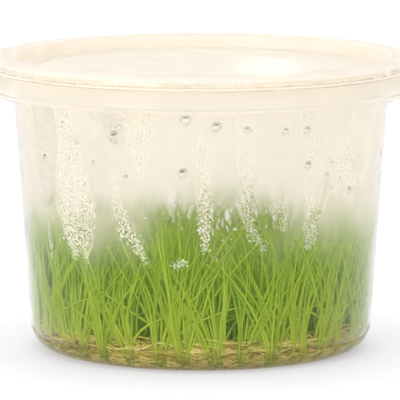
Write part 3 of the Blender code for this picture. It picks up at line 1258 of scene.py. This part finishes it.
@dataclass
class Lid:
    """The snap-on lid: a rolled rim over the neck and a panel sunk inside it."""

    radius: float = 59.0 * MM
    top: float = 82.0 * MM
    lip_foot: float = 78.65 * MM
    clear_lip: float = 80.2 * MM
    lip_wall: float = 1.3 * MM
    catch: float = 1.6 * MM
    catch_height: float = 0.4 * MM
    thick: float = 1.2 * MM
    recess: float = 52.6 * MM
    panel_top: float = 78.0 * MM
    step_radius: float = 46.0 * MM
    step_rise: float = 0.6 * MM
    edge: float = 0.8 * MM
    face_radius: float = 7.0 * MM
    face_lean: float = 17.6
    steps: int = 256

    @property
    def underside(self) -> float:
        """The height of the raised panel's underside."""
        return self.panel_top - self.thick + self.step_rise

    def outline(self) -> Outline:
        """The lid's outline, out over the panel and the rim and back underneath."""
        foot = self.panel_top - self.thick
        plug = self.recess + self.thick
        panel_rim = (self.step_radius - 1.2 * self.step_rise, self.panel_top + self.step_rise)
        panel = [(0.0, self.panel_top + self.step_rise)]
        panel += ruled(panel[0], panel_rim, 24) + [panel_rim]
        panel += [(self.step_radius - 0.3 * self.step_rise, self.panel_top + 0.3 * self.step_rise)]
        panel += [(self.step_radius + 0.3 * MM, self.panel_top)]
        panel += arc((self.recess - 0.7 * MM, self.panel_top + 0.7 * MM), 0.7 * MM, -90.0, 0.0, 5)
        rim = arc((self.recess + 0.8 * MM, self.top - 0.8 * MM), 0.8 * MM, 180.0, 90.0, 5)
        face_foot = (self.radius - self.face_radius, self.lip_foot + 0.3 * MM)
        face = arc(face_foot, self.face_radius, self.face_lean, 0.0, 10)
        lean = math.radians(self.face_lean)
        shoulder = (face[0][0] - self.edge * math.cos(lean), face[0][1] - self.edge * math.sin(lean))
        rim += arc(shoulder, self.edge, 90.0, self.face_lean, 6) + face[1:]
        hook = self.radius - self.lip_wall - self.catch
        lip = [(self.radius - 0.3 * MM, self.lip_foot)]
        lip += [(hook + 0.2 * MM, self.lip_foot), (hook, self.lip_foot + 0.1 * MM)]
        lip += [(self.radius - self.lip_wall, self.lip_foot + self.catch_height)]
        roof = self.top - self.thick
        channel = arc((self.radius - self.lip_wall - 0.3 * MM, roof - 0.3 * MM), 0.3 * MM, 0.0, 90.0, 3)
        channel += [(plug + 0.3 * MM, roof), (plug, roof - 0.3 * MM)]
        under = arc((plug - 0.8 * MM, foot + 0.8 * MM), 0.8 * MM, 0.0, -90.0, 4)
        under += [(self.step_radius + 0.2 * MM, foot), (self.step_radius - self.step_rise, foot + self.step_rise)]
        under += ruled(under[-1], (0.0, foot + self.step_rise), 24) + [(0.0, foot + self.step_rise)]
        return panel + rim + lip + channel + under

    def build(self, finish: Plastic) -> bpy.types.Object:
        """Turn the lid, fog its underside and dress it.

        Args:
            finish: The plastic.

        Returns:
            The lid.
        """
        obj = turn("lid_shell", self.outline(), self.steps)
        points = points_of(obj.data)
        r = np.hypot(points[:, 0], points[:, 1])
        below = (points[:, 2] < self.underside + 0.3 * MM) & (r < self.recess)
        angle = np.arctan2(points[:, 1], points[:, 0])
        clump = 0.5 + 0.25 * (np.sin(3.0 * angle + 90.0 * r) + np.sin(5.0 * angle - 140.0 * r))
        low = smooth_step(self.recess + 2.0 * MM, self.recess + 3.0 * MM, r)
        low *= 1.0 - smooth_step(self.clear_lip, self.clear_lip + 0.5 * MM, points[:, 2])
        paint(obj.data, "fog", np.where(below, 0.55 + 0.4 * clump, 0.7) * (1.0 - low))
        paint(obj.data, "painted_shade", 0.35 * low)
        # Painted shade: the clear low lip takes a darker tan.
        paint(obj.data, "patch", np.where(below, 0.5 * clump, 0.0))
        paint(obj.data, "thick", 1.0 - 0.7 * low)
        dress(obj, finish.build(), ["lid"])
        return obj


@dataclass
class Jelly:
    """The thin layer of nutrient jelly in the foot."""

    wall: Wall = field(default_factory=Wall)
    top: float = 5.0 * MM
    creep: float = 0.2 * MM

    def build(self, finish: Clear, against_wall: Clear) -> bpy.types.Object:
        """Turn the jelly, creeping up the wall a little, and dress it.

        Args:
            finish: The clear jelly.
            against_wall: The jelly where it touches the cup and light passes straight on.

        Returns:
            The jelly.
        """
        gap = 0.05 * MM
        corner = self.wall.corner(self.wall.thickness + gap, self.wall.floor + gap, 14)
        side = [point for point in corner if point[1] < self.top]
        edge = float(self.wall.room(np.array([self.top]), gap)[0])
        meniscus = [(edge, self.top + 0.3 * self.creep), (edge - 0.4 * MM, self.top)]
        meniscus += [(edge - 1.4 * MM, self.top - 0.5 * self.creep)]
        centre = (0.0, self.top - 0.6 * self.creep)
        outline = [(0.0, self.wall.floor + gap)] + side + meniscus + [centre]
        obj = turn("jelly_layer", outline, 96)
        dress(obj, finish.build(), ["nutrient_jelly"])
        obj.data.materials.append(against_wall.build())
        for face in obj.data.polygons:
            if face.normal.z < 0.3:
                face.material_index = 1
        return obj


# What grows in it


@dataclass
class Mat:
    """The mat of roots and runners on its dark heart."""

    wall: Wall = field(default_factory=Wall)
    foot: float = 1.4 * MM
    top: float = 7.4 * MM
    heart_margin: float = 0.9 * MM
    wall_strands: int = 1500
    mat_strands: int = 900
    thickness: tuple[float, float] = (0.13 * MM, 0.31 * MM)
    seed: int = 5

    def heart(self, finish: Litter) -> bpy.types.Object:
        """Model the heart of the mat: a lumpy cake.

        Args:
            finish: Its finish.

        Returns:
            The heart.
        """
        obj = start_piece(
            "mat_heart", bpy.ops.mesh.primitive_circle_add, vertices=96, radius=38.0 * MM, fill_type="NGON"
        )
        bpy.ops.transform.translate(value=(0.0, 0.0, self.foot))
        levels = np.linspace(self.foot, self.top - 1.2 * MM, 6)
        radii = self.wall.room(levels, self.heart_margin)
        bpy.ops.transform.resize(value=(radii[0] / (38.0 * MM),) * 2 + (1.0,))
        for (low, r), (high, wide) in zip(zip(levels, radii), zip(levels[1:], radii[1:])):
            bpy.ops.mesh.extrude_region_move(TRANSFORM_OT_translate={"value": (0.0, 0.0, high - low)})
            bpy.ops.transform.resize(value=(wide / r, wide / r, 1.0))
        for ring in range(14):
            shrink = (13.0 - ring) / (14.0 - ring)
            bpy.ops.mesh.extrude_region_move()
            bpy.ops.transform.resize(value=(max(shrink, 0.02), max(shrink, 0.02), 1.0))
        bpy.ops.mesh.merge(type="CENTER")
        bpy.ops.mesh.select_all(action="SELECT")
        bpy.ops.mesh.remove_doubles(threshold=1e-6)
        bpy.ops.mesh.normals_make_consistent(inside=False)
        close_piece(obj, 80.0)
        lumps = bpy.data.textures.new("mat_lumps", "CLOUDS")
        lumps.noise_scale = 2.6 * MM
        swell = obj.modifiers.new("lumps", "DISPLACE")
        swell.texture = lumps
        swell.texture_coords = "LOCAL"
        swell.strength = 1.8 * MM
        swell.mid_level = 0.6
        select_only(obj)
        bpy.ops.object.modifier_apply(modifier=swell.name)
        dress(obj, finish.build(), [])
        return obj

    def _wall_strand(self, rng: random.Random, steps: int) -> np.ndarray:
        """A strand that lies along the wall."""
        start = rng.uniform(0.0, 2.0 * math.pi)
        length = rng.triangular(5.0, 34.0, 14.0) * MM
        height = rng.uniform(self.foot, self.top + 0.8 * MM)
        slope = rng.uniform(-0.7, 0.7) * rng.random()
        share = np.linspace(0.0, 1.0, steps)
        wave = rng.uniform(0.3, 1.3) * MM * np.sin(share * rng.uniform(2.0, 12.0) + rng.uniform(0.0, 6.0))
        z = np.clip(height + slope * length * (share - 0.5) + wave, self.foot, self.top + 2.2 * MM)
        away = rng.uniform(0.0, 1.2) * MM
        away = away + rng.uniform(0.0, 1.2) * MM * np.sin(share * rng.uniform(1.0, 5.0) + rng.uniform(0.0, 6.0)) ** 2
        r = self.wall.room(z, 0.35 * MM) - away
        angle = start + share * length / r * rng.choice((-1.0, 1.0))
        return np.stack([r * np.cos(angle), r * np.sin(angle), z], axis=1)

    def _mat_strand(self, rng: random.Random, steps: int) -> np.ndarray:
        """A strand that crosses the mat's top."""
        r = 44.0 * MM * math.sqrt(rng.uniform(0.0, 1.0))
        angle = rng.uniform(0.0, 2.0 * math.pi)
        heading = rng.uniform(0.0, 2.0 * math.pi)
        bend = rng.uniform(-1.6, 1.6)
        length = rng.uniform(12.0, 34.0) * MM
        share = np.linspace(0.0, 1.0, steps)
        course = heading + bend * share + 0.5 * np.sin(share * rng.uniform(3.0, 9.0) + rng.uniform(0.0, 6.0))
        step = length / (steps - 1)
        x = r * math.cos(angle) + np.cumsum(np.cos(course)) * step
        y = r * math.sin(angle) + np.cumsum(np.sin(course)) * step
        rise = rng.uniform(0.0, 1.6) * MM
        z = self.top - 1.6 * MM + rise + 0.7 * MM * np.sin(share * rng.uniform(2.0, 8.0) + rng.uniform(0.0, 6.0))
        far = np.hypot(x, y)
        room = self.wall.room(z, 0.6 * MM)
        shrink = np.minimum(1.0, room / far)
        return np.stack([x * shrink, y * shrink, z], axis=1)

    def tangle(self, finish: Root) -> list[bpy.types.Object]:
        """Lay the strands of the mat.

        Args:
            finish: Their finish.

        Returns:
            The strands along the wall and those across the mat, a piece each.
        """
        rng = random.Random(self.seed)
        pattern = strand_pattern(4, 9)
        material = finish.build()
        pieces = []
        jobs = (
            ("wall_runners", self._wall_strand, self.wall_strands, ["root_mat"]),
            ("mat_runners", self._mat_strand, self.mat_strands, []),
        )
        for name, draw, count, stands_for in jobs:
            copies, tints = [], []
            for _ in range(count):
                path = draw(rng, 10)
                share = np.linspace(0.0, 1.0, 10)
                width = rng.uniform(*self.thickness) * (0.75 + 0.25 * np.sin(share * 9.0 + rng.uniform(0.0, 6.0)))
                width[0] *= 0.5
                copies.append(sweep(pattern, path, width, np.array([0.0, 0.0, 1.0])))
                tints.append(rng.uniform(0.0, 1.0))
            obj = pattern.join(name, copies, {"tint": np.array(tints)})
            dress(obj, material, stands_for)
            pieces.append(obj)
        return pieces


class Ring(Enum):
    """The rings that the plants stand in: label, how many plants, leaves a plant."""

    CENTRE = ("centre", 1, 40)
    INNER = ("inner", 6, 40)
    MIDDLE = ("middle", 12, 46)
    OUTER = ("outer", 18, 76)


@dataclass
class Carpet:
    """The grown carpet: plants in rings, each a fan of wiry leaves from one crown."""

    wall: Wall = field(default_factory=Wall)
    pitch: float = 13.2 * MM
    crown: float = 5.0 * MM
    foot: float = 2.0 * MM
    height: tuple[float, float] = (22.0 * MM, 39.5 * MM)
    at_wall: float = 0.64
    wall_tilt: float = 1.3
    wall_width: float = 1.25
    clump_lean: float = 0.26
    foot_margin: float = 1.8 * MM
    foot_clears: tuple[float, float] = (5.0 * MM, 15.0 * MM)
    bunches: tuple[float, ...] = (-0.10, 0.06)
    radius: tuple[float, float] = (0.25 * MM, 0.47 * MM)
    spread: float = 0.36
    seed: int = 3

    def _leaf(self, rng: random.Random, at: Vector, sections: int) -> np.ndarray:
        """The path of one leaf.

        Args:
            rng: Source of chance.
            at: The plant's place.
            sections: How many points the path has.

        Returns:
            The path, kept clear of the wall.
        """
        share = np.linspace(0.0, 1.0, sections)
        way = rng.uniform(0.0, 2.0 * math.pi)
        off = self.crown * math.sqrt(rng.uniform(0.0, 1.0))
        lean, common = self.spread, 0.0
        beside = 0.0
        if at.length > 2.5 * self.pitch and rng.random() < self.at_wall:
            bunch = rng.choice(self.bunches)
            beside = math.atan2(at.y, at.x) + bunch + 0.5 * math.pi
            common = self.clump_lean * math.sin(23.0 * beside + 2.0)
            way = beside + rng.choice((0.0, math.pi)) + rng.gauss(0.0, 0.45)
            lean *= self.wall_tilt
            at = Matrix.Rotation(bunch + rng.gauss(0.0, 0.013), 2) @ at * (1.0 + rng.uniform(0.13, 0.22))
            off *= 0.2
        fan = Vector((math.cos(way), math.sin(way)))
        height = rng.triangular(*self.height, self.height[0] + 0.62 * (self.height[1] - self.height[0]))
        height *= 1.0 + 0.12 * math.sin(7.0 * math.atan2(at.y, at.x) + 1.0)
        tilt = lean * rng.uniform(0.1, 1.0) * (0.5 + off / self.crown)
        bow = rng.uniform(-0.20, 0.42) * height
        turn_way = way + rng.uniform(-1.2, 1.2)
        if rng.random() < 0.07:
            bow = rng.uniform(0.6, 1.2) * height
            height *= 0.7
        out = off + height * math.tan(tilt) * share
        aside = common * height * share
        x = at.x + fan.x * out + math.cos(turn_way) * bow * share**2.2 + math.cos(beside) * aside
        y = at.y + fan.y * out + math.sin(turn_way) * bow * share**2.2 + math.sin(beside) * aside
        x = x + 0.5 * MM * np.sin(share * rng.uniform(3.0, 8.0) + rng.uniform(0.0, 6.0))
        y = y + 0.4 * MM * np.sin(share * rng.uniform(3.0, 7.0) + rng.uniform(0.0, 6.0))
        droop = 0.18 * abs(bow) * share**3
        z = self.foot + rng.uniform(0.0, 2.0) * MM + height * share - droop
        kept = self.foot_margin * (1.0 - smooth_step(*self.foot_clears, z)) * rng.random()
        room = self.wall.room(z, 0.3 * MM) - kept
        shrink = np.minimum(1.0, room / np.hypot(x, y))
        return np.stack([x * shrink, y * shrink, z], axis=1)

    def places(self) -> list[tuple[str, Vector, int]]:
        """Names, places and leaf counts of the plants."""
        found = []
        for order, ring in enumerate(Ring):
            label, count, leaves = ring.value
            for index in range(count):
                angle = 2.0 * math.pi * (index + 0.35 * order) / count
                at = Vector((math.cos(angle), math.sin(angle))) * self.pitch * order
                found.append((label if ring is Ring.CENTRE else f"{label}_{index + 1}", at, leaves))
        return found

    def grow(self, finish: Leaf) -> list[bpy.types.Object]:
        """Grow every plant.

        Args:
            finish: The leaves' finish.

        Returns:
            The plants, a piece each.
        """
        rng = random.Random(self.seed)
        pattern = strand_pattern(5, 9)
        along = pattern.points[:, 2]
        material = finish.build()
        pieces = []
        for label, at, leaves in self.places():
            copies, tints = [], []
            for _ in range(leaves):
                path = self._leaf(rng, at, 10)
                share = np.linspace(0.0, 1.0, 10)
                width = rng.uniform(*self.radius) * (1.0 - 0.72 * share**1.6)
                if math.hypot(path[4][0], path[4][1]) > 3.3 * self.pitch:
                    width *= self.wall_width
                out = np.array([at.x, at.y, 1e-6])
                copies.append(sweep(pattern, path, width, out / np.linalg.norm(out)))
                tints.append(rng.uniform(0.0, 1.0))
            marks = {"along": np.tile(along, (leaves, 1)), "tint": np.array(tints)}
            obj = pattern.join(f"hairgrass_{label}", copies, marks)
            dress(obj, material, [f"tuft_{label}"])
            pieces.append(obj)
        return pieces


# Putting it together


def dress(obj: bpy.types.Object, material: bpy.types.Material, stands_for: Iterable[str]) -> None:
    """Give a piece its material, slot and body, and hide the frame's nodes that it stands for.

    Args:
        obj: The piece.
        material: Its material.
        stands_for: The frame's nodes that it replaces.
    """
    obj.data.materials.clear()
    obj.data.materials.append(material)
    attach(obj, "root")
    if stands_for:
        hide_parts(*stands_for)
    LOG.info("%s: %d faces", obj.name, len(obj.data.polygons))


@dataclass
class Studio:
    """A pale floor, an even pale surrounding, soft lamps and the camera."""

    distance: float = 1.251
    elevation: float = 8.17
    lens: float = 403.6
    aim: float = 40.87 * MM
    shift: float = -0.0021

    def floor(self, finish: Paper) -> None:
        """Lay the floor.

        Args:
            finish: Its finish.
        """
        obj = start_piece("floor", bpy.ops.mesh.primitive_plane_add, size=8.0)
        bpy.ops.mesh.subdivide(number_cuts=7)
        close_piece(obj)
        obj.data.materials.append(finish.build())

    def surround(self) -> None:
        """Make the even pale surrounding."""
        world = bpy.data.worlds.new("pale_room")
        world.use_nodes = True
        shade = world.node_tree.nodes["Background"]
        shade.inputs["Color"].default_value = (1.0, 1.0, 1.0, 1.0)
        shade.inputs["Strength"].default_value = 0.99
        world.cycles.sampling_method = "NONE"
        bpy.context.scene.world = world

    def lamp(self, name: str, azimuth: float, elevation: float, away: float, size: tuple, watts: float) -> None:
        """Hang a soft lamp that faces the tub.

        Args:
            name: The lamp's name.
            azimuth: Degrees to the right of the camera, seen from the tub.
            elevation: Degrees above the table.
            away: Its distance.
            size: Its width and height.
            watts: Its power.
        """
        light = bpy.data.lights.new(name, "AREA")
        light.shape = "RECTANGLE"
        light.size, light.size_y = size
        light.energy = watts
        obj = bpy.data.objects.new(name, light)
        bpy.context.scene.collection.objects.link(obj)
        a, e = math.radians(azimuth), math.radians(elevation)
        way = Vector((math.sin(a) * math.cos(e), -math.cos(a) * math.cos(e), math.sin(e)))
        obj.location = way * away + Vector((0.0, 0.0, self.aim))
        obj.rotation_euler = way.to_track_quat("Z", "Y").to_euler()
        obj.visible_camera = False
        obj.visible_transmission = False

    def camera(self) -> None:
        """Place the camera at the photograph's angle."""
        data = bpy.data.cameras.new("camera")
        data.lens = self.lens
        data.sensor_width = 36.0
        data.shift_x = self.shift
        data.clip_start, data.clip_end = 0.05, 20.0
        obj = bpy.data.objects.new("camera", data)
        bpy.context.scene.collection.objects.link(obj)
        e = math.radians(self.elevation)
        back = Vector((0.0, -math.cos(e), math.sin(e)))
        obj.location = back * self.distance + Vector((0.0, 0.0, self.aim))
        obj.rotation_euler = back.to_track_quat("Z", "Y").to_euler()
        bpy.context.scene.camera = obj

    def build(self) -> None:
        """Set up the whole studio."""
        self.floor(Paper("floor_paper"))
        self.surround()
        self.lamp("key", -37.0, 18.0, 1.1, (0.6, 0.5), 4.0)
        self.lamp("fill", 24.0, 17.0, 1.2, (1.0, 0.9), 3.2)
        self.lamp("left", -100.0, 16.0, 1.1, (1.1, 1.0), 2.9)
        self.lamp("right", 95.0, 16.0, 1.1, (1.1, 1.0), 3.0)
        self.lamp("shine", 178.4, 8.0, 1.5, (0.03, 0.05), 0.012)
        self.lamp("backdrop", 180.0, 45.0, 1.84, (1.6, 1.0), 7.0)
        self.camera()
        scene = bpy.context.scene
        scene.view_settings.view_transform = "Standard"
        scene.cycles.max_bounces = 16
        scene.cycles.transmission_bounces = 14
        scene.cycles.transparent_max_bounces = 24
        scene.cycles.blur_glossy = 0.5
        scene.cycles.sample_clamp_indirect = 6.0


def main() -> None:
    """Build the tub and all that is in it, then the studio."""
    logging.basicConfig(level=logging.INFO, format="%(message)s")
    dew = Condensation()
    # The skirt is the cup's own plastic; its darker milk is painted shade for where it hangs under the lid's lip.
    shaded_skirt = {"tint": (0.985, 0.970, 0.940), "milk": (0.875, 0.836, 0.772)}
    skirt = Plastic("cup_plastic_skirt", mirror=0.45, rim_haze=0.30, **shaded_skirt)
    Cup().build(dew, Plastic("cup_plastic_fogged"), Plastic("cup_plastic_wetted", index=1.015), skirt)
    lid = Lid()
    pale = {"tint": (0.995, 0.985, 0.968), "milk": (0.91, 0.857, 0.79)}
    lid.build(Plastic("lid_plastic_fogged", index=1.49, fog_haze=0.55, base_haze=0.12, mirror=0.9, **pale))
    gel = {"tint": (0.995, 0.985, 0.95), "absorbs": (0.92, 0.84, 0.50), "density": 5.0}
    Jelly().build(Clear("jelly_open", index=1.34, **gel), Clear("jelly_against_wall", index=1.005, **gel))
    mat = Mat()
    mat.heart(Litter("mat_litter"))
    mat.tangle(Root("root_straw"))
    Carpet().grow(Leaf("leaf_green"))
    water = Clear("water_clear", index=1.33, tint=(0.995, 0.997, 0.995)).build()
    fine_dew = Clear("water_dew", index=1.33, tint=(0.995, 0.997, 0.995), cloud=0.8).build()
    for piece in [*dew.dew(), dew.lid_dew(lid.underside, 44.0 * MM)]:
        dress(piece, fine_dew, [])
    dress(dew.drops(), water, [])
    held = Clear("water_held", index=1.33, tint=(0.995, 0.99, 0.98), cloud=0.5, milk=(0.95, 0.91, 0.84)).build()
    for piece in (dew.rim_water(57.1 * MM, 79.4 * MM, 0.5 * MM), dew.rim_film(58.72 * MM, 78.72 * MM, 0.26 * MM)):
        dress(piece, held, [])
    Studio().build()


if __name__ == "__main__":
    main()
